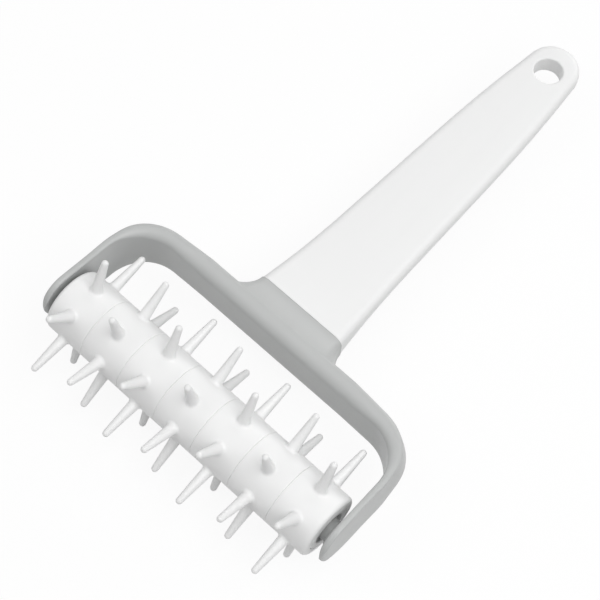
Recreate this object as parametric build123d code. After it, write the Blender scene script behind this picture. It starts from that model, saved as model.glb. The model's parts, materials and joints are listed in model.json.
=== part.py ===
from build123d import *
import os
from math import atan, cos, degrees, radians, sin, sqrt, tan

# Dough docker. Millimetres, X along the axle, Y from the axle towards the handle,
# Z square to the flat of the handle. The pieces are made about the middle of the
# fork's axle, and at the end the whole is moved to stand centred on the origin.

# Roller: loose rings on one core tube with flat sides
ring_count = 7
ring_width = 16.0
roller_diameter = 22.9
core_across_flats = 16.4
core_wall = 1.3
core_fit = 0.12
roller_slide = 0.7

# Spikes, with flat sides to keep the many of them light
spikes_per_ring = 6
spike_sides = 10
spike_circle_diameter = 51.1
spike_root_diameter = 3.9
spike_tip_diameter = 2.3
spike_sink = 0.8
first_spike_angle = 22.4

# End plugs, which turn on the fork's two stubs
plug_flange_thickness = 1.8
plug_length = 8.5
plug_fit = 0.05
plug_mouth_chamfer = 0.4
bearing_clearance = 0.1

# Fork
stub_diameter = 11.0
stub_grip = 6.0
stub_wall = 1.7
stub_tip_chamfer = 0.6
side_gap = 2.4
arm_thickness = 2.35
arm_splay_angle = 1.8
arm_end_reach = 8.8
fork_height = 21.6
fork_edge_steps = 1
bar_thickness = 6.4
bar_inner_distance = 33.2
bar_swell_length = 11.0
bend_inner_radius = 14.4

# Collar and tang
joint_distance = 47.6
joint_width = 34.4
joint_thickness = 12.4
joint_edge_radius = 3.2
joint_edge_steps = 2
collar_margin = 0.35
collar_flare = 5.2
tang_width = 16.0
tang_thickness = 4.6
tang_length = 34.0
tang_edge_chamfer = 0.6
tang_fit = 0.15
tang_end_gap = 1.0

# Handle
handle_drop = 3.5
handle_end_distance = 185.1
handle_end_diameter = 19.2
handle_thickness = 7.6
hang_hole_diameter = 10.0
hang_hole_inset = 12.0
hang_hole_bevel = 0.6

# Stations of the lofts: how far along the arm's end, and at even stations how far a size
# has gone from its first value to its last
arm_end_shares = (0.0, 0.25, 0.5, 0.75, 0.95)
bend_thickness_shares = (0.0, 0.22, 0.45, 0.62, 0.76)
swell_thickness_shares = (0.76, 0.94, 1.0)
collar_width_shares = (0.0, 0.55, 0.88, 1.0)
handle_width_shares = (0.0, 0.17, 0.29, 0.375, 0.45, 0.53, 0.63, 0.79, 1.0)
handle_sweep_share = 0.25

# Each step of a spike's round tip: how far up the tip it ends, and how wide it is there
spike_tip_shares = ((0.62, 0.8), (1.0, 0.38))

# Worked out from the sizes above
roller_length = ring_count * ring_width
ring_bore = core_across_flats + 2 * core_fit
core_bore = core_across_flats - 2 * core_wall
core_length = roller_length - 2 * plug_flange_thickness
plug_bore = stub_diameter + 2 * bearing_clearance
arm_face = roller_length / 2 + side_gap
bend_centre_distance = bar_inner_distance - bend_inner_radius
handle_end_centre = handle_end_distance - handle_end_diameter / 2
hang_hole_place = handle_end_distance - hang_hole_inset


def x_cylinder(radius, start, end):
    """A cylinder about the axle from one X to another."""
    return Pos(X=(start + end) / 2) * Rot(Y=90) * Cylinder(radius, end - start)


def x_prism(across_flats, start, end):
    """A prism about the axle with a side for every half step between the spikes."""
    sides = 2 * spikes_per_ring
    section = Plane.YZ.offset(start) * RegularPolygon(across_flats / 2, sides, major_radius=False)
    return extrude(section, end - start)


def tapered_prism(start, end, start_radius, end_radius):
    """A length of a spike along Z, tapering between two radii."""
    taper = degrees(atan((start_radius - end_radius) / (end - start)))
    section = Plane.XY.offset(start) * RegularPolygon(start_radius, spike_sides, major_radius=False)
    return extrude(section, end - start, taper=taper)


def spike():
    """One tapered spike with a stepped round tip, standing up the Z axis from inside its ring."""
    tip = spike_tip_diameter / 2
    place = spike_circle_diameter / 2 - tip
    made = tapered_prism(roller_diameter / 2 - spike_sink, place, spike_root_diameter / 2, tip)
    start = place
    start_radius = tip
    for along, width in spike_tip_shares:
        end = place + tip * along
        made += tapered_prism(start, end, start_radius, tip * width)
        start = end
        start_radius = tip * width
    return made


def ring(number):
    """One ring with its spikes, turned by half a spike step if its number is even."""
    half = ring_width / 2
    step = 360 / spikes_per_ring
    body = x_cylinder(roller_diameter / 2, -half, half)
    for index in range(spikes_per_ring):
        body += Rot(X=-index * step) * spike()
    body -= x_prism(ring_bore, -half, half)
    turned = first_spike_angle - step / 2 * (1 - number % 2)
    place = (number - (ring_count + 1) / 2) * ring_width
    return Pos(X=place) * Rot(X=-turned) * body


def roller_core():
    """The tube that the rings are threaded on; its flats carry every ring round with it."""
    half = core_length / 2
    tube = x_prism(core_across_flats, -half, half) - x_cylinder(core_bore / 2, -half, half)
    return Rot(X=-first_spike_angle) * tube


def end_plug():
    """The flanged plug in the right end of the core, with the bearing bore for the stub."""
    end = roller_length / 2
    flange = Rot(X=-first_spike_angle) * x_prism(core_across_flats, end - plug_flange_thickness, end)
    spigot = x_cylinder(core_bore / 2 - plug_fit, end - plug_length, end)
    plug = flange + spigot - x_cylinder(plug_bore / 2, end - plug_length, end)
    mouth = plug.faces().sort_by(Axis.X)[-1].inner_wires()[0].edges()
    return chamfer(mouth, plug_mouth_chamfer)


def corner_points(width, height, radius, steps):
    """The points that round the upper right corner of a section in flat steps."""
    spread = radians(90) / (steps + 1)
    reach = radius / cos(spread / 2)
    points = []
    for index in range(steps + 1):
        angle = spread * index + spread / 2
        across = width / 2 - radius + reach * cos(angle)
        points.append((across, height / 2 - radius + reach * sin(angle)))
    return points


def stepped_section(plane, width, height, radius, steps):
    """A rectangular section with all four corners rounded in flat steps."""
    right = corner_points(width, height, radius, steps)
    top = right + [(-across, up) for across, up in reversed(right)]
    bottom = [(-across, -up) for across, up in top]
    return plane * Polygon(*top, *bottom, align=None)


def fork_level(distance):
    """How far the fork's middle lies below the axle, at a distance towards the handle."""
    return -handle_drop * distance / joint_distance


def fork_section(place, heading, thickness, height):
    """One upright section of the fork with half-round edges, outwards from a place on its inner face."""
    outwards = (sin(heading), -cos(heading))
    across = place[0] + outwards[0] * thickness / 2
    along = place[1] + outwards[1] * thickness / 2
    plane = Plane(
        origin=(across, along, fork_level(along)),
        x_dir=(outwards[0], outwards[1], 0),
        z_dir=(cos(heading), sin(heading), 0),
    )
    return stepped_section(plane, thickness, height, thickness / 2, fork_edge_steps)


def bend_start():
    """Where the inner face of the right arm ends and its bend starts, as X and Y."""
    lean = radians(arm_splay_angle)
    along = bend_centre_distance + bend_inner_radius * sin(lean)
    return arm_face - along * tan(lean), along


def bend_centre_place():
    """How far the centre of each bend lies from the middle of the fork."""
    return bend_start()[0] - bend_inner_radius * cos(radians(arm_splay_angle))


def arm_end():
    """The rounded end of the right arm, from the axle away from the handle."""
    lean = radians(arm_splay_angle)
    sections = []
    for share in arm_end_shares:
        height = fork_height * sqrt(1 - share * share)
        thickness = arm_thickness * sqrt(height / fork_height)
        inset = (arm_thickness - thickness) / 2
        place = (arm_face + arm_end_reach * share * tan(lean) + inset, -arm_end_reach * share)
        sections.append(fork_section(place, radians(90) + lean, thickness, height))
    return loft(sections)


def straight_arm():
    """The right arm from the axle to the start of its bend."""
    heading = radians(90 + arm_splay_angle)
    first = fork_section((arm_face, 0), heading, arm_thickness, fork_height)
    last = fork_section(bend_start(), heading, arm_thickness, fork_height)
    return loft([first, last], ruled=True)


def swelling(share):
    """A thickness between that of the arms and that of the bar."""
    return arm_thickness + (bar_thickness - arm_thickness) * share


def bend():
    """The right bend, which thickens outwards on its way from the arm to the bar."""
    first = radians(90 + arm_splay_angle)
    turn = radians(180) - first
    sections = []
    for index, share in enumerate(bend_thickness_shares):
        heading = first + turn * index / (len(bend_thickness_shares) - 1)
        across = bend_centre_place() + bend_inner_radius * sin(heading)
        along = bend_centre_distance - bend_inner_radius * cos(heading)
        sections.append(fork_section((across, along), heading, swelling(share), fork_height))
    return loft(sections)


def bar_swell():
    """The start of the bar after the right bend, up to its full thickness."""
    sections = []
    for index, share in enumerate(swell_thickness_shares):
        run = bar_swell_length * index / (len(swell_thickness_shares) - 1)
        place = (bend_centre_place() - run, bar_inner_distance)
        sections.append(fork_section(place, radians(180), swelling(share), fork_height))
    return loft(sections)


def bar():
    """The straight middle of the bar."""
    half = bend_centre_place() - bar_swell_length
    end = fork_section((half, bar_inner_distance), radians(180), bar_thickness, fork_height)
    return extrude(end, 2 * half, dir=(-1, 0, 0))


def stub():
    """The hollow stub on the right arm that the roller turns on."""
    tip = roller_length / 2 - stub_grip
    body = x_cylinder(stub_diameter / 2, tip, arm_face + arm_thickness / 2)
    body = chamfer(body.edges().filter_by(GeomType.CIRCLE).sort_by(Axis.X)[0], stub_tip_chamfer)
    return body - x_cylinder(stub_diameter / 2 - stub_wall, tip, arm_face - arm_thickness / 2)


def cross_section(distance, level, width, thickness):
    """A section across the handle's line, for the collar and the handle."""
    plane = Plane(origin=(0, distance, level), x_dir=(1, 0, 0), z_dir=(0, 1, 0))
    return stepped_section(plane, width, thickness, joint_edge_radius, joint_edge_steps)


def collar():
    """The flared neck from inside the bar to the joint with the handle."""
    start = bar_inner_distance + bar_thickness / 2
    narrowest = joint_width + 2 * collar_margin
    deepest = fork_height - bar_thickness / 2
    sections = []
    for index, share in enumerate(collar_width_shares):
        distance = start + (joint_distance - start) * index / (len(collar_width_shares) - 1)
        width = narrowest + 2 * collar_flare * (1 - share)
        thickness = joint_thickness + (deepest - joint_thickness) * (1 - share)
        sections.append(cross_section(distance, fork_level(distance), width, thickness))
    return loft(sections)


def tang():
    """The tongue that fills the handle's socket."""
    place = Pos(0, joint_distance + tang_length / 2, -handle_drop)
    tongue = place * Box(tang_width, tang_length, tang_thickness)
    return chamfer(tongue.faces().sort_by(Axis.Y)[-1].edges(), tang_edge_chamfer)


def fork():
    """The one-piece fork: two arms with stubs, the bar, the collar and the tang."""
    half = arm_end() + straight_arm() + bend() + bar_swell() + stub()
    return half + mirror(half, Plane.YZ) + bar() + collar() + tang()


def grip():
    """The handle from the joint to the middle of its round end."""
    run = handle_end_centre - joint_distance
    sections = []
    for index, share in enumerate(handle_width_shares):
        along = index / (len(handle_width_shares) - 1)
        width = joint_width + (handle_end_diameter - joint_width) * share
        swell = max(1 - along / handle_sweep_share, 0) ** 2
        thickness = handle_thickness + (joint_thickness - handle_thickness) * swell
        sections.append(cross_section(joint_distance + run * along, -handle_drop, width, thickness))
    return loft(sections)


def round_end():
    """The round end of the handle, half of its section turned about the end's centre."""
    half = handle_thickness / 2
    upper = corner_points(handle_end_diameter, handle_thickness, joint_edge_radius, joint_edge_steps)
    lower = [(across, -up) for across, up in reversed(upper)]
    plane = Plane(origin=(0, handle_end_centre, -handle_drop), x_dir=(1, 0, 0), z_dir=(0, -1, 0))
    section = plane * Polygon((0, -half), *lower, *upper, (0, half), align=None)
    return revolve(section, axis=Axis((0, handle_end_centre, 0), (0, 0, 1)), revolution_arc=180)


def handle():
    """The one-piece handle with its hang hole and its socket for the tang."""
    body = grip() + round_end()
    body -= Pos(0, hang_hole_place, -handle_drop) * Cylinder(hang_hole_diameter / 2, joint_thickness)
    rims = body.edges().filter_by(GeomType.CIRCLE).sort_by(SortBy.RADIUS)[:2]
    body = chamfer(rims, hang_hole_bevel)
    reach = tang_length + tang_end_gap
    socket = Box(tang_width + 2 * tang_fit, reach, tang_thickness + 2 * tang_fit)
    return body - Pos(0, joint_distance + reach / 2, -handle_drop) * socket


def build():
    """Every piece by its node's name, standing on the origin's level and centred over it."""
    roller = {"roller_core": roller_core()}
    for number in range(1, ring_count + 1):
        roller[f"spike_ring_{number}"] = ring(number)
    roller["left_end_plug"] = mirror(end_plug(), Plane.YZ)
    roller["right_end_plug"] = end_plug()
    pieces = {"handle": handle(), "fork": fork()}
    for name, piece in roller.items():
        pieces[name] = Pos(X=-roller_slide) * piece
    box = Compound(list(pieces.values())).bounding_box()
    stand = Pos(-box.center().X, -box.center().Y, -box.min.Z)
    return {name: stand * piece for name, piece in pieces.items()}


os.makedirs("parts", exist_ok=True)
for name, piece in build().items():
    export_step(piece, f"parts/{name}.step")
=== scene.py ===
import json
from math import atan, cos, pi, radians, sin, tan

import bpy
import numpy as np
from bpy.props import FloatProperty, FloatVectorProperty, PointerProperty
from bpy.types import Operator, Panel, PropertyGroup
from mathutils import Matrix, Vector


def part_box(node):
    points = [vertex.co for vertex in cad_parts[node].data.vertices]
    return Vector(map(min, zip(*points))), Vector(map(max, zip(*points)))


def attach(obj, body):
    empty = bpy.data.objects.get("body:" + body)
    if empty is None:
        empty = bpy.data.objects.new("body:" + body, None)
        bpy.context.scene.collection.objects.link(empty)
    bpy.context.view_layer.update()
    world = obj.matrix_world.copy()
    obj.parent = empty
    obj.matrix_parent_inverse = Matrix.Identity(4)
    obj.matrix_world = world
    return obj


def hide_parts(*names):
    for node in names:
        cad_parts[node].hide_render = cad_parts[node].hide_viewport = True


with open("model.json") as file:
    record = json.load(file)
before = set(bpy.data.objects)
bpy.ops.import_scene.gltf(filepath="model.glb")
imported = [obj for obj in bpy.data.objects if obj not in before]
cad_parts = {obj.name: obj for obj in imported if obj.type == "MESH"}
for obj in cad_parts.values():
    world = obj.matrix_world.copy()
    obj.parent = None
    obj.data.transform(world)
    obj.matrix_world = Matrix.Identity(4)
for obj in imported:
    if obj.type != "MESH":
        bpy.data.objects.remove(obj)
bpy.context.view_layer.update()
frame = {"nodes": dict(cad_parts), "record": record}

bl_info = {
    "name": "Dough Docker",
    "version": (1, 0, 0),
    "blender": (4, 5, 0),
    "location": "3D View > Sidebar > Dough Docker",
    "description": "Builds the smooth surfaces, plastics and studio of a hand dough docker",
    "category": "Mesh",
}

# Places read from the frame, in metres: X along the axle, Y from the axle to the handle, Z up
axle = Vector(frame["record"]["behaviour"]["joints"][0]["pos_m"])
handle_low, handle_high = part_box("handle")
first_ring_low, first_ring_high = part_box("spike_ring_1")
ring_names = sorted(name for name in frame["nodes"] if name.startswith("spike_ring_"))
ring_width = first_ring_high.x - first_ring_low.x
roller_half = len(ring_names) * ring_width / 2
handle_level = (handle_low.z + handle_high.z) / 2

# Spikes round one ring, and the side of each square lamp in metres
spikes_per_ring = 6
lamp_width = 0.8

# How finely the grids are cut, round the turned pieces and round a half rounding
barrel_columns, stub_columns, spike_columns = 144, 96, 24
crest_steps, side_steps = 25, 11
sharp_from = radians(35)

# The plastics' patterns, in turns per metre, a streak's width for its length, and the clouds' share
cloud_scale, streak_scale, pore_scale, grain_scale = 38, 420, 900, 5200
streak_squash, cloud_share = 0.08, 0.6

# How much the clouds show in each plastic, and the height of its grain in metres
white_skin, grey_skin = (0.02, 0.00002), (0.04, 0.00003)

# How far a size has gone from its first value to its last, at even stations
handle_width_shares = (0.0, 0.17, 0.29, 0.375, 0.45, 0.53, 0.63, 0.79, 1.0)
fork_swell_shares = (0.0, 0.03, 0.11, 0.5, 0.69, 0.75, 0.88, 1.0)


def length(name, description, default):
    """A size in metres that the sidebar shows."""
    return FloatProperty(
        name=name, description=description, default=default, min=0, precision=5, unit="LENGTH"
    )


def angle(name, description, default):
    """An angle that the sidebar shows in degrees, with its default given in degrees."""
    return FloatProperty(
        name=name, description=description, default=radians(default), unit="ROTATION"
    )


def share(name, description, default, highest=1):
    """A plain number, mostly between nothing and one."""
    return FloatProperty(name=name, description=description, default=default, min=0, max=highest)


def colour(name, description, default):
    """A linear colour."""
    return FloatVectorProperty(
        name=name, description=description, default=default, size=3, min=0, max=1, subtype="COLOR"
    )


class HandleSizes(PropertyGroup):
    """The flat white handle."""

    end_diameter: length("End width", "Width of the handle's round end", 0.0192)
    slab_thickness: length("Thickness", "Thickness past the sweep at the joint", 0.0076)
    edge_radius: length("Edge radius", "Rounding of the long edges", 0.0028)
    crown: length("Crown", "Rise of each face's middle above its edges", 0.00025)
    crown_reach: length("Crown reach", "How far in the crown still rises", 0.009)
    sweep_share: share("Sweep", "Share of the length that thickens to the joint", 0.25)
    hole_diameter: length("Hang hole", "Diameter of the hang hole", 0.01)
    hole_inset: length("Hole inset", "From the handle's end to the hole's centre", 0.012)
    hole_rim: length("Hole rim", "Rounding of the hole's rims", 0.0007)
    socket_width: length("Socket width", "Width of the tang's socket", 0.0163)
    socket_height: length("Socket height", "Height of the tang's socket", 0.0049)
    socket_depth: length("Socket depth", "Depth of the tang's socket", 0.035)


class ForkSizes(PropertyGroup):
    """The grey fork."""

    arm_thickness: length("Arm thickness", "Thickness of the two arms", 0.00217)
    bar_thickness: length("Bar thickness", "Thickness of the bar in its middle", 0.00615)
    height: length("Height", "Height of the arms and the bar", 0.0216)
    side_gap: length("Side gap", "From the centred roller's end to the arm", 0.00236)
    splay: angle("Splay", "How far each arm leans out towards its end", 1.75)
    end_reach: length("Arm end", "From the axle to the rounded end of an arm", 0.0091)
    end_upper: length("Upper end", "From the axle back to where an arm's top is round", 0.0005)
    end_lower: length("Lower end", "From the axle back to where its underside is round", 0.006)
    end_closing: length("End closing", "Length over which an arm's end closes", 0.0026)
    bend_radius: length("Bend radius", "Inner radius of the two bends", 0.0149)
    bar_distance: length("Bar distance", "From the axle to the bar's inner face", 0.0327)
    belly: length("Belly", "Bulge of the bar's outer side at half height", 0.0002)
    crest: share("Crest", "Share of the thickness outside the highest line", 0.2)
    outer_rise: share("Outer rise", "Height of the outer rounding, per thickness", 0.25)
    inner_rise: share("Inner rise", "Height of the inner rounding, per thickness", 0.65)
    arm_crest: share("Arm crest", "The crest share of the thin arms", 0.5)
    arm_rise: share("Arm rise", "The inner rise of the thin arms", 0.3)
    swell_lead: length("Swell lead", "Length of arm that thickens before a bend", 0.009)
    swell_length: length("Swell length", "Length of bar that thickens past a bend", 0.0121)
    bend_bulge: length("Bend bulge", "Bulge of the bends' outer side at half height", 0.0018)
    bend_flare: length("Bend flare", "Lean of the bends' outer side out at its foot", 0.00012)
    drop: length("Drop", "How far the joint lies below the axle", 0.0035)
    collar_margin: length("Collar margin", "How far the collar stands out past the handle", 0.00035)
    collar_flare: length("Collar flare", "How far the collar widens on each side", 0.0075)
    collar_corner: length("Collar corner", "Rounding of the collar's outline on the bar", 0.0078)
    collar_climb: share("Collar climb", "How far over the bar's rounding the collar reaches", 0.6)
    collar_straight: share("Collar straight", "How long the collar keeps straight", 0.35)
    collar_sweep: share("Collar sweep", "How long the collar's sides run along the bar", 0.7)
    collar_top_sweep: share("Collar top", "How long the collar's top keeps to the bar's crest", 0.1)
    collar_lean: share("Collar lean", "How much narrower its foot is at the top", 0.06)
    collar_edge: length("Collar edge", "Rounding of the collar's rim at the joint", 0.00025)
    stub_diameter: length("Stub", "Diameter of the roller's stubs", 0.008)
    shoulder_diameter: length("Shoulder", "Diameter of the shoulder next to the arm", 0.0098)
    shoulder_gap: length("Shoulder gap", "From the centred roller's end to a shoulder", 0.0011)
    stub_grip: length("Stub grip", "How far a stub reaches into the roller", 0.006)
    stub_fillet: length("Stub fillet", "Rounding between a shoulder and its arm", 0.0006)
    stub_wall: length("Stub wall", "Wall of the hollow stubs", 0.0014)
    tang_width: length("Tang width", "Width of the tang", 0.016)
    tang_height: length("Tang height", "Height of the tang", 0.0046)
    tang_length: length("Tang length", "Length of the tang", 0.034)


class RollerSizes(PropertyGroup):
    """The seven spiked rings and the plugs in the ends of their core."""

    barrel_diameter: length("Barrel", "Diameter of the rings without their spikes", 0.0229)
    seam_radius: length("Seam radius", "Rounding of the rings' edges at the seams", 0.00032)
    end_radius: length("End radius", "Rounding of the roller's two outer edges", 0.0015)
    bore_width: length("Bore", "Width across the flats of the rings' bore", 0.01664)
    spike_circle: length("Spike circle", "Diameter of the spike tips' circle", 0.0511)
    spike_root: length("Spike root", "Diameter of a spike at the barrel", 0.0039)
    spike_tip: length("Spike tip", "Diameter of a spike below its round tip", 0.0023)
    spike_foot: length("Spike foot", "Rounding between a spike and the barrel", 0.0009)
    first_angle: angle("First spike", "Angle of the first spike, from upright to the handle", 22.4)
    flange_thickness: length("Flange", "Thickness of an end plug's flange", 0.0018)
    flange_width: length("Flange width", "Width across the flats of an end plug's flange", 0.01655)
    plug_length: length("Plug length", "Length of an end plug", 0.0085)
    spigot_diameter: length("Spigot", "Diameter of an end plug inside the core", 0.0137)
    bearing_diameter: length("Bearing", "Diameter of the bearing bore in an end plug", 0.0082)
    mouth_gap: length("Mouth gap", "How much wider the bearing's mouth is all round", 0.0016)
    mouth_depth: length("Mouth depth", "Depth of the wide mouth of the bearing", 0.003)


class Finish(PropertyGroup):
    """The two plastics."""

    white: colour("White", "Colour of the handle and the roller", (0.88, 0.882, 0.88))
    grey: colour("Grey", "Colour of the fork", (0.5, 0.509, 0.505))
    white_roughness: share("White roughness", "Roughness of the white plastic", 0.4)
    grey_roughness: share("Grey roughness", "Roughness of the grey plastic", 0.36)


class Studio(PropertyGroup):
    """The camera, the lamps and the floor."""

    target: FloatVectorProperty(
        name="Target",
        description="The point that the camera looks at, from the roller's middle",
        default=(-0.0047, 0.0531, -0.0081),
        unit="LENGTH",
        subtype="XYZ",
    )
    distance: length("Distance", "From the target to the camera", 0.5779)
    azimuth: angle("Azimuth", "Camera's way round to the right", 38.46)
    elevation: angle("Elevation", "Height of the camera above the horizon", 65.14)
    roll: angle("Roll", "Turn of the camera about its own axis", 4.74)
    lens: FloatProperty(name="Lens", description="Focal length on a 36 mm sensor", default=105.9)
    sky: share("Sky", "Strength of the even light from all sides", 0.34, 10)
    key: share("Key lamp", "Power of the lamp above the right arm, in watts", 5.9, 1000)
    back: share("Back lamp", "Power of the low lamp behind the handle, in watts", 3.2, 1000)
    fill: share("Fill lamp", "Power of the lamp in front of the roller, in watts", 2.4, 1000)
    floor: colour("Floor", "Colour of the floor to the camera", (0.98, 0.98, 0.98))
    bounce: share("Floor bounce", "Share of the floor's colour that lights the object", 0.6)
    floor_glow: share("Floor glow", "Share of plain white in the floor that the camera sees", 0.9)


class DockerSettings(PropertyGroup):
    """Everything that a user may change."""

    handle: PointerProperty(type=HandleSizes)
    fork: PointerProperty(type=ForkSizes)
    roller: PointerProperty(type=RollerSizes)
    finish: PointerProperty(type=Finish)
    studio: PointerProperty(type=Studio)


# Surfaces on grids

def eased(shares, place):
    """A smooth curve through evenly spaced values, read at places between nothing and one.

    Between two values it is the cubic whose slope at each value is that of the line through the
    values on either side of it.
    """
    values = np.asarray(shares)
    slopes = np.gradient(values)
    position = np.clip(place, 0, 1) * (len(values) - 1)
    index = np.minimum(position.astype(int), len(values) - 2)
    t = position - index
    start = (2 * t**3 - 3 * t**2 + 1) * values[index] + (t**3 - 2 * t**2 + t) * slopes[index]
    end = (3 * t**2 - 2 * t**3) * values[index + 1] + (t**3 - t**2) * slopes[index + 1]
    return start + end


def grid_faces(rows, columns, ring):
    """Four-cornered faces between neighbouring points of a grid whose columns close on themselves.

    Where ring is true, the last row joins the first as well.
    """
    starts = np.arange(rows if ring else rows - 1)
    low, left = np.meshgrid(starts, np.arange(columns), indexing="ij")
    up, right = (low + 1) % rows * columns, (left + 1) % columns
    low = low * columns
    return np.stack([low + left, low + right, up + right, up + left], axis=-1).reshape(-1, 4)


def facing_out(points, faces):
    """The faces, all turned over if the volume that they close comes out negative."""
    volume = 0
    for corners in faces:
        first = points[corners[:, 0]]
        for index in range(1, corners.shape[1] - 1):
            second, third = points[corners[:, index]], points[corners[:, index + 1]]
            volume += np.sum(first * np.cross(second, third))
    return faces if volume > 0 else [corners[:, ::-1] for corners in faces]


def ring_shell(grid):
    """A closed shell from a grid that joins itself both ways, as a tyre does."""
    rows, columns = grid.shape[:2]
    points = grid.reshape(-1, 3)
    return points, facing_out(points, [grid_faces(rows, columns, True)])


def capped_shell(grid):
    """A closed shell from a grid that joins itself round, with a fan to one point at each end."""
    rows, columns = grid.shape[:2]
    ends = np.stack([grid[0].mean(axis=0), grid[-1].mean(axis=0)])
    points = np.concatenate([grid.reshape(-1, 3), ends])
    left = np.arange(columns)
    right = (left + 1) % columns
    last = (rows - 1) * columns
    first_fan = np.stack([left, np.full(columns, rows * columns), right], axis=-1)
    last_fan = np.stack([last + left, last + right, np.full(columns, rows * columns + 1)], axis=-1)
    faces = [grid_faces(rows, columns, False), first_fan, last_fan]
    return points, facing_out(points, faces)


def mirrored(shell):
    """The shell on the other side of the middle plane, with its faces turned to point out again."""
    points, faces = shell
    return points * (-1, 1, 1), [corners[:, ::-1] for corners in faces]


def shells_to_mesh(name, shells):
    """One smooth mesh from closed shells, with the edges that turn by much kept sharp."""
    points, loops, totals = [], [], []
    used = 0
    for shell_points, faces in shells:
        for corners in faces:
            loops.append((corners + used).ravel())
            totals.append(np.full(len(corners), corners.shape[1]))
        points.append(shell_points)
        used += len(shell_points)
    points, loops, totals = np.concatenate(points), np.concatenate(loops), np.concatenate(totals)
    mesh = bpy.data.meshes.new(name)
    mesh.vertices.add(len(points))
    mesh.vertices.foreach_set("co", points.astype(np.float32).ravel())
    mesh.loops.add(len(loops))
    mesh.loops.foreach_set("vertex_index", loops.astype(np.int32))
    mesh.polygons.add(len(totals))
    mesh.polygons.foreach_set("loop_start", (np.cumsum(totals) - totals).astype(np.int32))
    mesh.update(calc_edges=True)
    mesh.validate()
    mesh.polygons.foreach_set("use_smooth", np.ones(len(mesh.polygons), dtype=bool))
    mesh.set_sharp_from_angle(angle=sharp_from)
    return mesh


def add_piece(name, shells, material, body, node):
    """A finished piece that stands for its solid, rides on its body and has its plastic."""
    piece = bpy.data.objects.new(name, shells_to_mesh(name, shells))
    bpy.context.scene.collection.objects.link(piece)
    piece.data.materials.append(material)
    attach(piece, body)
    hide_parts(node)


def turned_profile(profile, columns, corner_at=None):
    """A profile of (place along X, radius) points carried round the axle, as a grid.

    Where corner_at is given, it is the angle of one corner of a twelve-sided outline, and the
    radius is that of the flats: it is divided by the cosine of the angle from the flat's middle.
    """
    profile = np.asarray(profile)
    around = np.linspace(0, 2 * pi, columns, endpoint=False)
    radius = np.repeat(profile[:, 1:2], columns, axis=1)
    if corner_at is not None:
        flat = pi / spikes_per_ring
        radius = radius * (1 / np.cos((around - corner_at) % flat - flat / 2))
    along = np.repeat(profile[:, 0:1], columns, axis=1)
    return np.stack([along, radius * np.sin(around), radius * np.cos(around)], axis=-1)


def quarter_round(start, end, first, steps):
    """Points of a quarter round that starts along one coordinate: the first where first is 0."""
    turn = np.linspace(0, pi / 2, steps)
    out, over = np.sin(turn), 1 - np.cos(turn)
    shares = (out, over) if first == 0 else (over, out)
    return [
        (start[0] + (end[0] - start[0]) * a, start[1] + (end[1] - start[1]) * b)
        for a, b in zip(*shares)
    ]


# Handle

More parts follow.
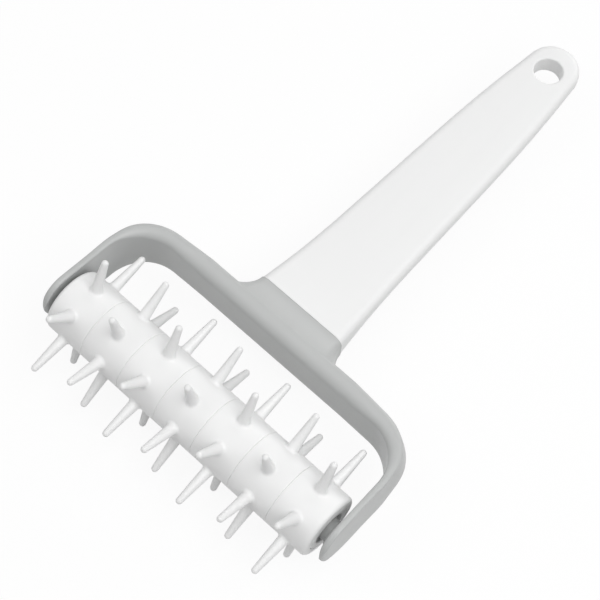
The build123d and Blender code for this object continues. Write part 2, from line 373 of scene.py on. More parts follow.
def handle_shell(sizes):
    """The handle as one closed grid that runs round it and through its hang hole.

    Each column is a straight line, seen from above, from the hole's rim to a point just inside the
    handle's outline. There it turns down over the rounded edge, returns below, and closes up the
    hole's wall. The columns follow the outline once round. The half thickness is that of the slab,
    plus a square that fades with the distance from the joint, plus a shallow crown that rises with
    the distance from the outline. At the joint the end face is set back inside the socket.
    """
    joint, level = handle_low.y, handle_level
    root, end_radius, edge = handle_high.x, sizes.end_diameter / 2, sizes.edge_radius
    end_centre = handle_high.y - end_radius
    run = end_centre - joint
    root_half = handle_high.z - level
    slab_half = sizes.slab_thickness / 2
    hole = handle_high.y - sizes.hole_inset
    hole_radius, rim = sizes.hole_diameter / 2, sizes.hole_rim
    stations = len(handle_width_shares) - 1
    last_step = handle_width_shares[-1] - handle_width_shares[-2]
    lean = atan(last_step * (root - end_radius) * stations / run)
    narrow = end_radius / cos(lean)
    contact = end_centre + end_radius * sin(lean)

    def half_width(y):
        """Half the width along the sides, then a straight line that touches the round end."""
        swept = root - (root - narrow) * eased(handle_width_shares, (y - joint) / run)
        return np.where(y < end_centre, swept, narrow - np.tan(lean) * (y - end_centre))

    def half_thickness(x, y):
        """Half the thickness with its sweep to the joint and its crown."""
        left = np.clip(1 - (y - joint) / run / sizes.sweep_share, 0, 1)
        side = np.minimum(half_width(np.minimum(y, end_centre)) - np.abs(x), end_radius)
        end = end_radius - np.hypot(x, y - end_centre)
        inside = np.clip((np.where(y < end_centre, side, end) - edge) / sizes.crown_reach, 0, 1)
        fade = np.clip((y - joint) / (run * sizes.sweep_share), 0, 1)
        crown = sizes.crown * (1 - (1 - inside) ** 2) * fade**2 * (3 - 2 * fade)
        return slab_half + (root_half - slab_half) * left**2 + crown

    # Outline from the joint's right corner round the end and back, with its inward directions
    crowding, side_columns, end_columns, joint_columns = 2.2, 100, 72, 12
    closer = (np.exp(crowding * np.linspace(1, 0, side_columns)) - 1) / (np.exp(crowding) - 1)
    side_y = contact - (contact - joint) * closer
    side_turn = lean * (side_y - joint) / (contact - joint)
    arc = np.linspace(lean, pi - lean, end_columns)[1:-1]
    right = np.stack([half_width(side_y), side_y], axis=-1)
    right_in = -np.stack([np.cos(side_turn), np.sin(side_turn)], axis=-1)
    tip = np.stack([end_radius * np.cos(arc), end_centre + end_radius * np.sin(arc)], axis=-1)
    tip_in = -np.stack([np.cos(arc), np.sin(arc)], axis=-1)
    across = (-1, 1)
    outer = np.concatenate([right, tip, (right * across)[::-1]])
    inward = np.concatenate([right_in, tip_in, (right_in * across)[::-1]])

    # The joint's edge, with close pairs of columns where the socket's walls are
    socket = sizes.socket_width / 2
    hair = 0.00001
    walls = np.array([socket - hair, socket + hair])
    flat = np.linspace(0, root - edge, joint_columns)[1:-1]
    joint_x = np.sort(np.concatenate([-flat, -walls, [0], walls, flat, [edge - root, root - edge]]))
    joint_line = np.stack([joint_x, np.full(len(joint_x), joint)], axis=-1)
    outer = np.concatenate([outer, joint_line])
    inward = np.concatenate([inward, np.zeros_like(joint_line)])

    # Rows in plan: from the hole's rim out to the edge, over the edge, and into the hole
    face_rows, edge_rows, rim_rows = 44, 10, 7
    inner = outer + inward * edge
    centre = np.array([0, hole])
    ray = (inner - centre) / np.linalg.norm(inner - centre, axis=-1, keepdims=True)
    rim_line = centre + ray * (hole_radius + rim)
    t = np.linspace(0, 1, face_rows)[:, None, None]
    face = rim_line + (inner - rim_line) * t
    turn = np.linspace(0, pi / 2, edge_rows)[1:, None, None]
    over = inner - inward * edge * np.sin(turn)
    face_rise = half_thickness(face[..., 0], face[..., 1])
    edge_rise = half_thickness(inner[:, 0], inner[:, 1]) - edge * (1 - np.cos(turn[..., 0]))
    rim_turn = np.linspace(0, pi / 2, rim_rows)[1:, None, None]
    mouth = centre + ray * (hole_radius + rim * (1 - np.sin(rim_turn)))
    mouth_rise = half_thickness(rim_line[:, 0], rim_line[:, 1])
    mouth_rise = mouth_rise - rim * (1 - np.cos(rim_turn[..., 0]))

    # The flat of the side, with close pairs of rows where the socket's walls are
    side_half = edge_rise[-1]
    socket_half = sizes.socket_height / 2
    lift = socket_half / (root_half - edge)
    step = hair / (root_half - edge)
    levels = np.array([lift + step, lift - step, step - lift, -lift - step])[:, None]
    side = np.repeat(outer[None], len(levels), axis=0)
    side_rise = levels * side_half

    plan = np.concatenate([face, over, side, over[::-1], face[::-1], mouth[:-1], mouth[::-1]])
    rise = np.concatenate(
        [face_rise, edge_rise, side_rise, -edge_rise[::-1], -face_rise[::-1]]
        + [-mouth_rise[:-1], mouth_rise[::-1]]
    )
    grid = np.concatenate([plan, (level + rise)[..., None]], axis=-1)
    at_joint = np.abs(grid[..., 1] - joint) < hair / 100
    in_socket = at_joint & (np.abs(grid[..., 0]) < socket) & (np.abs(rise) < socket_half)
    grid[..., 1] += np.where(in_socket, sizes.socket_depth, 0)
    return ring_shell(grid)


# Fork

def fork_level(sizes, y):
    """The level of the fork's middle, which drops evenly from the axle to the joint."""
    reach = handle_low.y - axle.y
    return axle.z - sizes.drop * (y - axle.y) / reach


def fork_section(sizes, thickness, half_height, bend):
    """The places round an upright section: across it from its inner side, and up from its middle.

    Above and below, a quarter of an ellipse rises from the inner side to the highest line and
    another falls from there to the outer side. In the arms both are alike, and towards the bar the
    inner one grows wide and the outer one narrow. The outer side bulges in the middle by a square,
    more so in the bends, where it also leans out at its foot; bend is one in the middle of a bend.
    """
    turn = np.linspace(0, pi / 2, crest_steps)
    flat = np.linspace(1, -1, side_steps)[1:-1]
    grown = (thickness - sizes.arm_thickness) / (sizes.bar_thickness - sizes.arm_thickness)
    grown = np.clip(grown, 0, 1)
    crest = sizes.arm_crest + (sizes.crest - sizes.arm_crest) * grown
    rise = sizes.arm_rise + (sizes.inner_rise - sizes.arm_rise) * grown
    outer, inner = thickness * crest, thickness * (1 - crest)
    outer_rise = np.minimum(thickness * sizes.outer_rise, half_height)
    inner_rise = np.minimum(thickness * rise, half_height)
    top_across = np.concatenate([inner + outer * np.cos(turn), inner * (1 - np.sin(turn))], axis=1)
    top_lift = [outer_rise * (np.sin(turn) - 1), inner_rise * (np.cos(turn) - 1)]
    top_lift = half_height + np.concatenate(top_lift, axis=1)
    across = [top_across, thickness * 0 * flat, top_across[:, ::-1], thickness + 0 * flat]
    inner_side, outer_side = (half_height - inner_rise) * flat, (outer_rise - half_height) * flat
    lift = np.concatenate([top_lift, inner_side, -top_lift[:, ::-1], outer_side], axis=1)
    across = np.concatenate(across, axis=1)
    bulge = sizes.belly / sizes.bar_thickness + sizes.bend_bulge * bend / thickness
    height = lift / half_height
    stretch = 1 + bulge * (1 - height**2) - sizes.bend_flare * bend / thickness * height
    return across * stretch, lift


def fork_arm_end(sizes, face):
    """The rounded end of an arm, from its tip on: places along Y and X, thickness, height and rise.

    Seen from the side, the top follows a short quarter of an ellipse and the underside a longer
    one. The thickness closes over a set length as half an ellipse does.
    """
    thin, tip_rows = sizes.arm_thickness, 34
    turn = np.linspace(pi / 2, 0, tip_rows)[:-1]
    reach = (sizes.end_reach + sizes.end_lower) * np.sin(turn) - sizes.end_lower

    def half(start):
        """Half the arm's height, where the rounding starts that far before the axle."""
        gone = np.clip((reach + start) / (sizes.end_reach + start), 0, 1)
        return sizes.height / 2 * np.sqrt(1 - gone**2)

    upper, lower = half(sizes.end_upper), half(sizes.end_lower)
    left = np.minimum((sizes.end_reach - reach) / sizes.end_closing, 1)
    thickness = np.maximum(thin * np.sqrt(1 - (1 - left) ** 2), thin / 100)
    x = face + reach * tan(sizes.splay) + (thin - thickness) / 2
    return -reach, x, thickness, np.maximum(upper + lower, thickness), (upper - lower) / 2


def fork_band_shell(sizes):
    """Both arms, both bends and the bar, as an upright section carried along the fork's inner face.

    The section lies outwards from the inner face, which runs straight along the arm, round the bend
    and along the bar. Its thickness grows smoothly from the arm's to the bar's over the last of the
    arm, the bend and the first of the bar. The other half is the mirror image.
    """
    thin, thick = sizes.arm_thickness, sizes.bar_thickness
    radius, lean = sizes.bend_radius, sizes.splay
    face = roller_half + sizes.side_gap
    centre_y = sizes.bar_distance - radius
    start_y = centre_y + radius * sin(lean)
    start_x = face - start_y * tan(lean)
    centre_x = start_x - radius * cos(lean)
    upright = pi / 2 + lean
    tip_y, tip_x, tip_thickness, tip_height, tip_rise = fork_arm_end(sizes, face)

    # Places along the straight of the arm, the bend, and half of the bar
    arm_rows, bend_rows, swell_rows, bar_rows = 14, 44, 15, 16
    arm_y = np.linspace(sizes.end_lower, start_y, arm_rows)[:-1]
    heading = np.linspace(upright, pi, bend_rows)
    swell_run = np.linspace(0, sizes.swell_length, swell_rows)[1:]
    rest_run = np.linspace(sizes.swell_length, centre_x, bar_rows)[1:]
    bar_run = np.concatenate([swell_run, rest_run])
    bar_y = np.full(len(bar_run), sizes.bar_distance)
    bend_x, bend_y = centre_x + radius * np.sin(heading), centre_y - radius * np.cos(heading)
    x = np.concatenate([tip_x, face - arm_y * tan(lean), bend_x, centre_x - bar_run])
    y = np.concatenate([tip_y, arm_y, bend_y, bar_y])
    straight = np.full(len(tip_y) + len(arm_y), upright)
    headings = np.concatenate([straight, heading, np.full(len(bar_run), pi)])

    # Thickness by the way gone since the swell began, and the bend's bulge, a sine squared
    lead, bend_run = sizes.swell_lead, radius * (heading - upright)
    arm_run = np.maximum(lead + (arm_y - start_y) / cos(lean), 0)
    bend_end = lead + bend_run[-1]
    gone = np.concatenate([arm_run, lead + bend_run, bend_end + bar_run])
    grown = eased(fork_swell_shares, gone / (bend_end + sizes.swell_length))
    thickness = np.concatenate([tip_thickness, thin + (thick - thin) * grown])
    bend = np.sin(pi * np.clip((gone - lead) / bend_run[-1], 0, 1)) ** 2
    bend = np.concatenate([np.zeros(len(tip_y)), bend])
    heights = np.concatenate([tip_height, np.full(len(gone), sizes.height)])
    raised = np.concatenate([tip_rise, np.zeros(len(gone))])

    across, lift = fork_section(sizes, thickness[:, None], heights[:, None] / 2, bend[:, None])
    place_x = x[:, None] + np.sin(headings)[:, None] * across
    place_y = axle.y + y[:, None] - np.cos(headings)[:, None] * across
    level = fork_level(sizes, axle.y + y - np.cos(headings) * thickness / 2) + raised
    grid = np.stack([place_x, place_y, level[:, None] + lift], axis=-1)
    other = grid[::-1][1:] * (-1, 1, 1)
    return capped_shell(np.concatenate([grid, other]))


def rounded_section(width, height, radius, corner=12, flats=10):
    """The points round a rounded rectangle, from its half width, half height and radius."""
    quarter = np.linspace(0, pi / 2, corner)
    flat = np.linspace(1, -1, flats + 2)[1:-1]
    corner_x = width - radius + radius * np.cos(quarter)
    corner_z = height - radius + radius * np.sin(quarter)
    top_x, side_z = (width - radius) * flat, (height - radius) * flat
    top_z, side_x = np.full(flats, height), np.full(flats, width)
    x = np.concatenate([corner_x, top_x, -corner_x[::-1], -side_x])
    z = np.concatenate([corner_z, top_z, corner_z[::-1], side_z])
    return np.concatenate([x, -x]), np.concatenate([z, -z])


def bar_outside(sizes, climb):
    """Points of the bar's outer side by the way climbed from its middle, and directions there.

    The way counts up the outer side and on over the outer rounding, or down. Points and directions
    are (Y from the bar's inner face, Z from its middle).
    """
    thick, half_height = sizes.bar_thickness, sizes.height / 2
    rise, depth = thick * sizes.outer_rise, thick * sizes.crest
    turn = np.clip((np.abs(climb) - half_height + rise) / rise, 0, pi / 2)
    z = np.where(turn > 0, half_height - rise * (1 - np.sin(turn)), np.abs(climb))
    y = thick - depth * (1 - np.cos(turn))
    y = y * (1 + sizes.belly / thick * (1 - (z / half_height) ** 2))
    run_y, run_z = -depth * np.sin(turn), rise * np.cos(turn)
    run = np.hypot(run_y, run_z)
    return y, np.sign(climb) * z, np.sign(climb) * run_y / run, run_z / run


def collar_shell(sizes, handle):
    """The collar, as smooth curves from the joint's rounded outline to a wider outline on the bar.

    The outline on the bar is a rounded rectangle, narrower towards its top, that is drawn on the
    bar's outer side and bent with it over the round top and bottom. Each curve leaves the joint
    square to it and meets the bar along its surface, pointing straight out of that outline. The
    curves are cubics with two control points: one straight out from the joint, one back along the
    bar's surface.
    """
    joint, inner = handle_low.y, axle.y + sizes.bar_distance
    half_width, half_height = handle_high.x + sizes.collar_margin, handle_high.z - handle_level
    rise = sizes.bar_thickness * sizes.outer_rise
    wide, corner = half_width + sizes.collar_flare, sizes.collar_corner
    tall = sizes.height / 2 - rise * (1 - sizes.collar_climb * pi / 2)
    far_x, far_climb = rounded_section(wide, tall, corner)
    grown_x, grown_climb = rounded_section(wide + 1, tall + 1, corner + 1)
    out_x, out_climb = grown_x - far_x, grown_climb - far_climb
    far_x = far_x * (1 - sizes.collar_lean * far_climb / tall)
    foot_y, foot_z, run_y, run_z = bar_outside(sizes, far_climb)
    level = fork_level(sizes, inner + sizes.bar_thickness / 2)
    foot = np.stack([far_x, inner + foot_y, level + foot_z], axis=-1)
    way = np.stack([out_x, out_climb * run_y, out_climb * run_z], axis=-1)
    near_x, near_z = rounded_section(half_width, half_height, handle.edge_radius)
    start_y = joint - sizes.collar_edge
    start = np.stack([near_x, np.full(len(near_x), start_y), handle_level + near_z], axis=-1)
    spread = np.sum((foot - start) * way, axis=-1)
    gap = start[:, 1:2] - foot[:, 1:2]
    out = start - gap * sizes.collar_straight * np.array([0, 1, -sizes.drop / (joint - axle.y)])
    top_sweep = sizes.collar_top_sweep - sizes.collar_sweep
    sweep = sizes.collar_sweep + top_sweep * (far_climb / tall) ** 2
    back = foot - way * (spread * sweep)[:, None]
    skirt_rows, rim_rows = 30, 6
    t = np.linspace(0, 1, skirt_rows)[:, None, None]
    skirt = (1 - t) ** 3 * start + 3 * (1 - t) ** 2 * t * out
    skirt = skirt + 3 * (1 - t) * t**2 * back + t**3 * foot
    rim = []
    for turn in np.linspace(pi / 2, 0, rim_rows)[:-1]:
        less = sizes.collar_edge * (1 - cos(turn))
        x, z = rounded_section(half_width - less, half_height - less, handle.edge_radius - less)
        y = np.full(len(x), joint - sizes.collar_edge * (1 - sin(turn)))
        rim.append(np.stack([x, y, handle_level + z], axis=-1))
    return capped_shell(np.concatenate([rim, skirt]))


def tang_shell(sizes):
    """The tang, a plain tongue with a bevelled end that fills the handle's socket."""
    width, height, long = sizes.tang_width / 2, sizes.tang_height / 2, sizes.tang_length
    bevel = height / 4
    rows = []
    for reach, inset in ((-sizes.bar_thickness / 2, 0), (long - bevel, 0), (long, bevel)):
        x, z = rounded_section(width - inset, height - inset, bevel / 2, corner=3, flats=2)
        rows.append(np.stack([x, np.full(len(x), handle_low.y + reach), handle_level + z], axis=-1))
    return capped_shell(np.stack(rows))


def stub_shell(sizes):
    """The right stub, turned about the axle from its hollow's floor out and back to the arm.

    It is a hollow round boss with a wider shoulder next to the arm.
    """
    radius, wall, shoulder = sizes.stub_diameter / 2, sizes.stub_wall, sizes.shoulder_diameter / 2
    tip, step = roller_half - sizes.stub_grip, roller_half + sizes.shoulder_gap
    face = roller_half + sizes.side_gap
    sunk = face + sizes.arm_thickness / 2
    bevel, fillet = wall / 3, sizes.stub_fillet
    edge, middle = bevel / 2, radius / 50
    profile = [(sunk, middle), (sunk, radius - wall)]
    profile += [(tip + edge, radius - wall), (tip, radius - wall + edge), (tip, radius - bevel)]
    profile += quarter_round((tip, radius - bevel), (tip + bevel, radius), 1, 6)[1:]
    profile += [(step, radius)]
    profile += quarter_round((step, shoulder - edge), (step + edge, shoulder), 1, 5)
    profile += quarter_round((face - fillet, shoulder), (face, shoulder + fillet), 0, 7)
    profile += [(sunk, shoulder + fillet), (sunk, middle)]
    grid = turned_profile(profile, stub_columns)
    return capped_shell(grid + (0, axle.y, axle.z))


# Roller

def ring_turn(sizes, number):
    """The angle of a ring's first spike; every second ring is set back by half a spike step."""
    return sizes.first_angle - pi / spikes_per_ring * (1 - number % 2)


def barrel_shell(sizes, number, place):
    """One ring without its spikes: a round outside with small round edges, and a twelve-sided bore.

    The outer edges of the first and the last ring are rounder than those at the seams.
    """
    half = ring_width / 2
    radius, bore = sizes.barrel_diameter / 2, sizes.bore_width / 2
    left_edge = sizes.end_radius if number == 1 else sizes.seam_radius
    right_edge = sizes.end_radius if number == len(ring_names) else sizes.seam_radius
    left = [(-half, value) for value in np.linspace(bore, radius - left_edge, 5)[1:-1]]
    outside = quarter_round((-half, radius - left_edge), (left_edge - half, radius), 1, 8)
    middle = np.linspace(left_edge - half, half - right_edge, 12)[1:-1]
    outside += [(value, radius) for value in middle]
    outside += quarter_round((half - right_edge, radius), (half, radius - right_edge), 0, 8)
    right = [(half, value) for value in np.linspace(radius - right_edge, bore, 5)[1:-1]]
    rounds = turned_profile(left + outside + right, barrel_columns)
    corner_at = ring_turn(sizes, number)
    walls = turned_profile([(half, bore), (-half, bore)], barrel_columns, corner_at)
    return ring_shell(np.concatenate([rounds, walls]) + (place, axle.y, axle.z))


def spike_shell(sizes, angle_out, place):
    """One spike, turned about its own axis and stood on the barrel at an angle.

    Its radius is a small quarter round at the foot, then shrinks evenly to the round tip. The
    foot's height follows the round of the barrel, and this fades out up the foot.
    """
    barrel, foot = sizes.barrel_diameter / 2, sizes.spike_foot
    root, tip = sizes.spike_root / 2, sizes.spike_tip / 2
    top = sizes.spike_circle / 2 - barrel
    foot_rows, shaft_rows, cap_rows = 7, 8, 8
    foot_turn = np.linspace(0, pi / 2, foot_rows)
    foot_up = foot * (1 - np.cos(foot_turn))
    foot_out = foot * (1 - np.sin(foot_turn))
    shaft_up = np.linspace(foot, top - tip, shaft_rows)[1:]
    cap_turn = np.linspace(0, pi / 2, cap_rows)[1:-1]
    cap_up = top - tip + tip * np.sin(cap_turn)
    up = np.concatenate([[-2 * foot], foot_up, shaft_up, cap_up])
    slope = (root - tip) / (top - tip)
    below = np.concatenate([[foot], foot_out, np.zeros(len(shaft_up))])
    shaft = root - slope * np.maximum(up[: len(below)], 0) + below
    radius = np.concatenate([shaft, tip * np.cos(cap_turn)])[:, None]
    around = np.linspace(0, 2 * pi, spike_columns, endpoint=False)
    along, aside = radius * np.cos(around), radius * np.sin(around)
    sag = barrel - np.sqrt(barrel**2 - aside**2)
    fade = np.clip(1 - up / (2 * foot), 0, 1)[:, None]
    out = barrel + up[:, None] - sag * fade
    toward_y, toward_z = sin(angle_out), cos(angle_out)
    grid = np.stack(
        [along, out * toward_y + aside * toward_z, out * toward_z - aside * toward_y], axis=-1
    )
    return capped_shell(grid + (place, axle.y, axle.z))


def ring_shells(sizes, number):
    """The barrel and the six spikes of one ring."""
    place = axle.x + (number - (len(ring_names) + 1) / 2) * ring_width
    shells = [barrel_shell(sizes, number, place)]
    for index in range(spikes_per_ring):
        angle_out = ring_turn(sizes, number) + index * 2 * pi / spikes_per_ring
        shells.append(spike_shell(sizes, angle_out, place))
    return shells


def plug_shell(sizes):
    """The right end plug: a round spigot, a twelve-sided flange, and a bore with a wide mouth."""
    end, inner = roller_half, roller_half - sizes.plug_length
    bore, mouth = sizes.bearing_diameter / 2, sizes.bearing_diameter / 2 + sizes.mouth_gap
    spigot, flange = sizes.spigot_diameter / 2, sizes.flange_width / 2
    back = end - sizes.flange_thickness
    edge = sizes.seam_radius
    flat_side = [(back, flange), (end - edge, flange), (end, flange - edge)]
    face = [(end, (flange + mouth) / 2), (end, mouth + edge), (end - edge, mouth)]
    face += [(end - sizes.mouth_depth, mouth), (end - sizes.mouth_depth, bore)]
    spigot_side = [(inner, bore), (inner, spigot - edge), (inner + edge, spigot), (back, spigot)]
    sides = turned_profile(flat_side, barrel_columns, sizes.first_angle)
    rounds = turned_profile(face + spigot_side, barrel_columns)
    return ring_shell(np.concatenate([sides, rounds]))


# Plastics

def feed(tree, node, inputs):
    """Gives a node's inputs plain values, or links them to other nodes' outputs."""
    for label, value in inputs.items():
        if isinstance(value, bpy.types.NodeSocket):
            tree.links.new(value, node.inputs[label])
        else:
            node.inputs[label].default_value = value
    return node


def shader_node(tree, kind, inputs, operation=None):
    """A new shader node with its inputs."""
    node = tree.nodes.new(f"ShaderNode{kind}")
    if operation:
        node.operation = operation
    return feed(tree, node, inputs)


def noise(tree, place, scale, detail, distortion=0):
    """A noise texture read at a place."""
    inputs = {"Vector": place, "Scale": scale, "Detail": detail, "Distortion": distortion}
    return shader_node(tree, "TexNoise", inputs).outputs["Fac"]


def math_node(tree, operation, *values):
    """A sum or product of sockets or plain numbers."""
    return shader_node(tree, "Math", dict(enumerate(values)), operation).outputs[0]


def scaled(tree, colour_value, factor):
    """A colour times a factor."""
    return shader_node(tree, "VectorMath", {0: colour_value, "Scale": factor}, "SCALE").outputs[0]


def moulded_group():
    """The skin of moulded plastic, shared by both plastics.

    Slow clouds lighten and darken the colour a little, a finer cloud varies the roughness, long
    faint streaks run along the handle as the melt flowed, and a fine grain gives the height.
    """
    group = bpy.data.node_groups.new("moulded skin", "ShaderNodeTree")
    for label, way, kind, value in (
        ("Colour", "INPUT", "Color", (0.8, 0.8, 0.8, 1)),
        ("Roughness", "INPUT", "Float", 0.4),
        ("Clouding", "INPUT", "Float", 0.03),
        ("Gloss change", "INPUT", "Float", 0.1),
        ("Colour", "OUTPUT", "Color", (0, 0, 0, 1)),
        ("Roughness", "OUTPUT", "Float", 0),
        ("Height", "OUTPUT", "Float", 0),
    ):
        socket_type = f"NodeSocket{kind}"
        socket = group.interface.new_socket(name=label, in_out=way, socket_type=socket_type)
        socket.default_value = value
    given, made = group.nodes.new("NodeGroupInput"), group.nodes.new("NodeGroupOutput")
    place = group.nodes.new("ShaderNodeTexCoord").outputs["Object"]
    stretch = shader_node(group, "Mapping", {"Vector": place, "Scale": (1, streak_squash, 1)})
    clouds = noise(group, place, cloud_scale, detail=3, distortion=0.4)
    streaks = noise(group, stretch.outputs["Vector"], streak_scale, detail=2)
    grain = noise(group, place, grain_scale, detail=3)
    pores = noise(group, place, pore_scale, detail=4)
    clouds = math_node(group, "MULTIPLY", clouds, cloud_share)
    mixed = math_node(group, "MULTIPLY_ADD", streaks, 1 - cloud_share, clouds)
    mixed = math_node(group, "SUBTRACT", mixed, 0.5)
    shade = math_node(group, "MULTIPLY_ADD", mixed, given.outputs["Clouding"], 1)
    uneven = math_node(group, "SUBTRACT", pores, 0.5)
    change, plain = given.outputs["Gloss change"], given.outputs["Roughness"]
    feed(group, made, {
        "Colour": scaled(group, given.outputs["Colour"], shade),
        "Roughness": math_node(group, "MULTIPLY_ADD", uneven, change, plain),
        "Height": math_node(group, "MULTIPLY_ADD", pores, 0.5, grain),
    })
    return group


def plastic(name, group, colour_value, roughness, clouding, depth):
    """One moulded plastic: its colour and roughness through the shared skin, and a fine grain."""
    material = bpy.data.materials.new(name)
    material.use_nodes = True
    material.diffuse_color = (*colour_value, 1)
    tree = material.node_tree
    skin = tree.nodes.new("ShaderNodeGroup")
    skin.node_tree = group
    feed(tree, skin, {"Colour": (*colour_value, 1), "Roughness": roughness, "Clouding": clouding})
    grain = {"Height": skin.outputs["Height"], "Distance": depth, "Strength": 0.5}
    feed(tree, tree.nodes["Principled BSDF"], {
        "Base Color": skin.outputs["Colour"],
        "Roughness": skin.outputs["Roughness"],
        "Normal": shader_node(tree, "Bump", grain).outputs["Normal"],
        "IOR": 1.49,
    })
    return material


def plastics(settings):
    """The white and the grey plastic, made once."""
    found = [bpy.data.materials.get(name) for name in ("white plastic", "grey plastic")]
    if all(found):
        return found
    finish = settings.finish
    group = moulded_group()
    white = plastic("white plastic", group, finish.white, finish.white_roughness, *white_skin)
    grey = plastic("grey plastic", group, finish.grey, finish.grey_roughness, *grey_skin)
    return white, grey


# Stage

def seen_directly(tree):
    """One where the camera, a reflection or a see-through material looks, else nothing."""
    path = tree.nodes.new("ShaderNodeLightPath")
    seen = math_node(tree, "MAXIMUM", path.outputs["Is Camera Ray"], path.outputs["Is Glossy Ray"])
    return math_node(tree, "MAXIMUM", seen, path.outputs["Is Transmission Ray"])


def floor_material(studio):
    """The pale floor: mostly plain white to the camera and in reflections, with a faint shadow."""
    material = bpy.data.materials.new("floor")
    material.use_nodes = True
    tree = material.node_tree
    camera = tree.nodes.new("ShaderNodeLightPath").outputs["Is Camera Ray"]
    dim = math_node(tree, "MULTIPLY_ADD", camera, 1 - studio.bounce, studio.bounce)
    shader = feed(tree, tree.nodes["Principled BSDF"], {
        "Base Color": scaled(tree, studio.floor, dim),
        "Roughness": 0.9,
        "Specular IOR Level": 0.2,
    })
    glow = tree.nodes.new("ShaderNodeEmission")
    white = math_node(tree, "MULTIPLY", seen_directly(tree), studio.floor_glow)
    mixed = {"Fac": white, 1: shader.outputs["BSDF"], 2: glow.outputs["Emission"]}
    surface = shader_node(tree, "MixShader", mixed).outputs["Shader"]
    feed(tree, tree.nodes["Material Output"], {"Surface": surface})
    return material


def studio_world(studio):
    """Even light from all sides, which the camera and all reflections see as plain white."""
    world = bpy.data.worlds.new("studio")
    world.use_nodes = True
    tree = world.node_tree
    strength = math_node(tree, "MULTIPLY_ADD", seen_directly(tree), 1 - studio.sky, studio.sky)
    feed(tree, tree.nodes["Background"], {"Color": (1, 1, 1, 1), "Strength": strength})
    return world


def soft_lamp(name, place, target, size, power):
    """A large square lamp that shines from a place to a target."""
    data = bpy.data.lights.new(name, "AREA")
    data.shape = "SQUARE"
    data.size = size
    data.energy = power
    lamp = bpy.data.objects.new(name, data)
    lamp.location = place
    lamp.rotation_euler = (target - place).to_track_quat("-Z", "Y").to_euler()
    bpy.context.scene.collection.objects.link(lamp)


def set_camera(studio):
    """The camera at the photograph's angle: back from its target by azimuth, elevation and roll."""
    data = bpy.data.cameras.new("camera")
    data.lens = studio.lens
    data.sensor_width = 36
    data.clip_start, data.clip_end = 0.01, 100
    back = Vector((
        sin(studio.azimuth) * cos(studio.elevation),
        -cos(studio.azimuth) * cos(studio.elevation),
        sin(studio.elevation),
    ))
    level = Vector((cos(studio.azimuth), sin(studio.azimuth), 0))
    above = back.cross(level)
    right = level * cos(studio.roll) + above * sin(studio.roll)
    up = above * cos(studio.roll) - level * sin(studio.roll)
    place = axle + Vector(studio.target) + back * studio.distance
    turned = Matrix((right, up, back)).transposed().to_4x4()
    camera = bpy.data.objects.new("camera", data)
    camera.matrix_world = Matrix.Translation(place) @ turned
    bpy.context.scene.collection.objects.link(camera)
    bpy.context.scene.camera = camera


class DOCKER_OT_handle(Operator):
    """Builds the white handle with its hang hole."""

    bl_idname = "docker.handle"
    bl_label = "Handle"

    def execute(self, context):
        settings = context.scene.dough_docker
        white = plastics(settings)[0]
        shells = [handle_shell(settings.handle)]
        add_piece("handle_grip", shells, white, "frame", "handle")
        return {"FINISHED"}


class DOCKER_OT_fork(Operator):
    """Builds the grey fork: arms, bar, collar, tang and stubs."""

    bl_idname = "docker.fork"
    bl_label = "Fork"

    def execute(self, context):
        settings = context.scene.dough_docker
        grey = plastics(settings)[1]
        stub = stub_shell(settings.fork)
        shells = [fork_band_shell(settings.fork), collar_shell(settings.fork, settings.handle)]
        shells += [tang_shell(settings.fork), stub, mirrored(stub)]
        add_piece("fork_yoke", shells, grey, "frame", "fork")
        return {"FINISHED"}


class DOCKER_OT_rings(Operator):
    """Builds the seven spiked rings."""

    bl_idname = "docker.rings"
    bl_label = "Rings"

    def execute(self, context):
        settings = context.scene.dough_docker
        white = plastics(settings)[0]
        for number, node in enumerate(ring_names, 1):
            shells = ring_shells(settings.roller, number)
            add_piece(f"docking_ring_{number}", shells, white, "roller", node)
        return {"FINISHED"}


class DOCKER_OT_core(Operator):
    """Builds the two end plugs and finishes the hidden core tube."""

    bl_idname = "docker.core"
    bl_label = "Core and end plugs"

    def execute(self, context):
        settings = context.scene.dough_docker
        white = plastics(settings)[0]
        right = plug_shell(settings.roller)
        for side, (points, faces) in (("right", right), ("left", mirrored(right))):
            shells = [(points + np.array(axle), faces)]
            name, node = f"{side}_bearing_plug", f"{side}_end_plug"
            add_piece(name, shells, white, "roller", node)
        core = frame["nodes"]["roller_core"]
        for index in range(len(core.material_slots)):
            core.material_slots[index].material = white
        return {"FINISHED"}


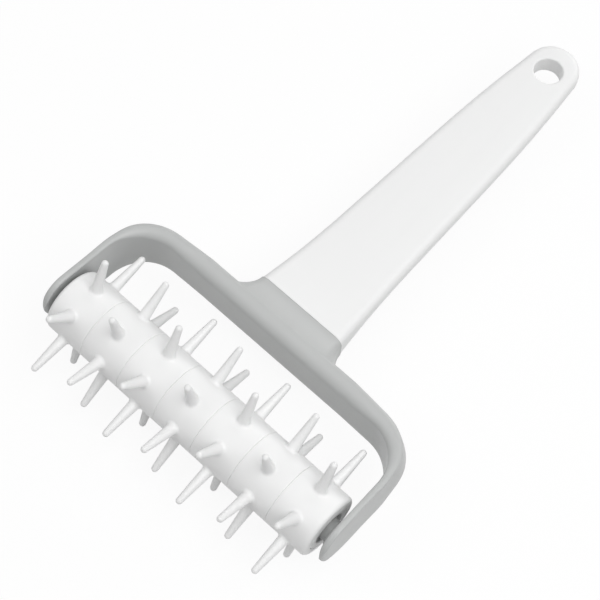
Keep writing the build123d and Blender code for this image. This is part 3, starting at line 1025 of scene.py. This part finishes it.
class DOCKER_OT_stage(Operator):
    """Builds the floor, the lamps, the world and the camera."""

    bl_idname = "docker.stage"
    bl_label = "Stage"

    def execute(self, context):
        studio = context.scene.dough_docker.studio
        context.scene.world = studio_world(studio)
        bpy.ops.mesh.primitive_plane_add(size=6)
        floor = context.object
        floor.name = "floor"
        floor.data.materials.append(floor_material(studio))
        for name, place, power in (
            ("key lamp", (0.46, 0.0, 0.96), studio.key),
            ("back lamp", (0.0, 1.03, 0.24), studio.back),
            ("fill lamp", (-0.33, -0.33, 0.96), studio.fill),
        ):
            soft_lamp(name, Vector(place), Vector((0, 0, axle.z)), lamp_width, power)
        set_camera(studio)
        context.scene.view_settings.view_transform = "Standard"
        return {"FINISHED"}


class DOCKER_PT_panel(Panel):
    """Lists the docker's sizes, its finishes and the buttons that build it."""

    bl_idname = "DOCKER_PT_panel"
    bl_label = "Dough Docker"
    bl_space_type = "VIEW_3D"
    bl_region_type = "UI"
    bl_category = "Dough Docker"

    def draw(self, context):
        settings = context.scene.dough_docker
        for label in ("handle", "fork", "roller", "finish", "studio"):
            group = getattr(settings, label)
            column = self.layout.column(align=True)
            column.label(text=label.capitalize())
            for name in group.bl_rna.properties.keys():
                if name not in {"rna_type", "name"}:
                    column.prop(group, name)
        for operator in operators:
            self.layout.operator(operator.bl_idname)


groups = (HandleSizes, ForkSizes, RollerSizes, Finish, Studio, DockerSettings)
operators = (DOCKER_OT_handle, DOCKER_OT_fork, DOCKER_OT_rings, DOCKER_OT_core, DOCKER_OT_stage)


def register():
    for made in (*groups, *operators, DOCKER_PT_panel):
        bpy.utils.register_class(made)
    bpy.types.Scene.dough_docker = PointerProperty(type=DockerSettings)


def unregister():
    del bpy.types.Scene.dough_docker
    for made in reversed((*groups, *operators, DOCKER_PT_panel)):
        bpy.utils.unregister_class(made)


def main():
    register()
    bpy.ops.docker.handle()
    bpy.ops.docker.fork()
    bpy.ops.docker.rings()
    bpy.ops.docker.core()
    bpy.ops.docker.stage()


if __name__ == "__main__":
    main()
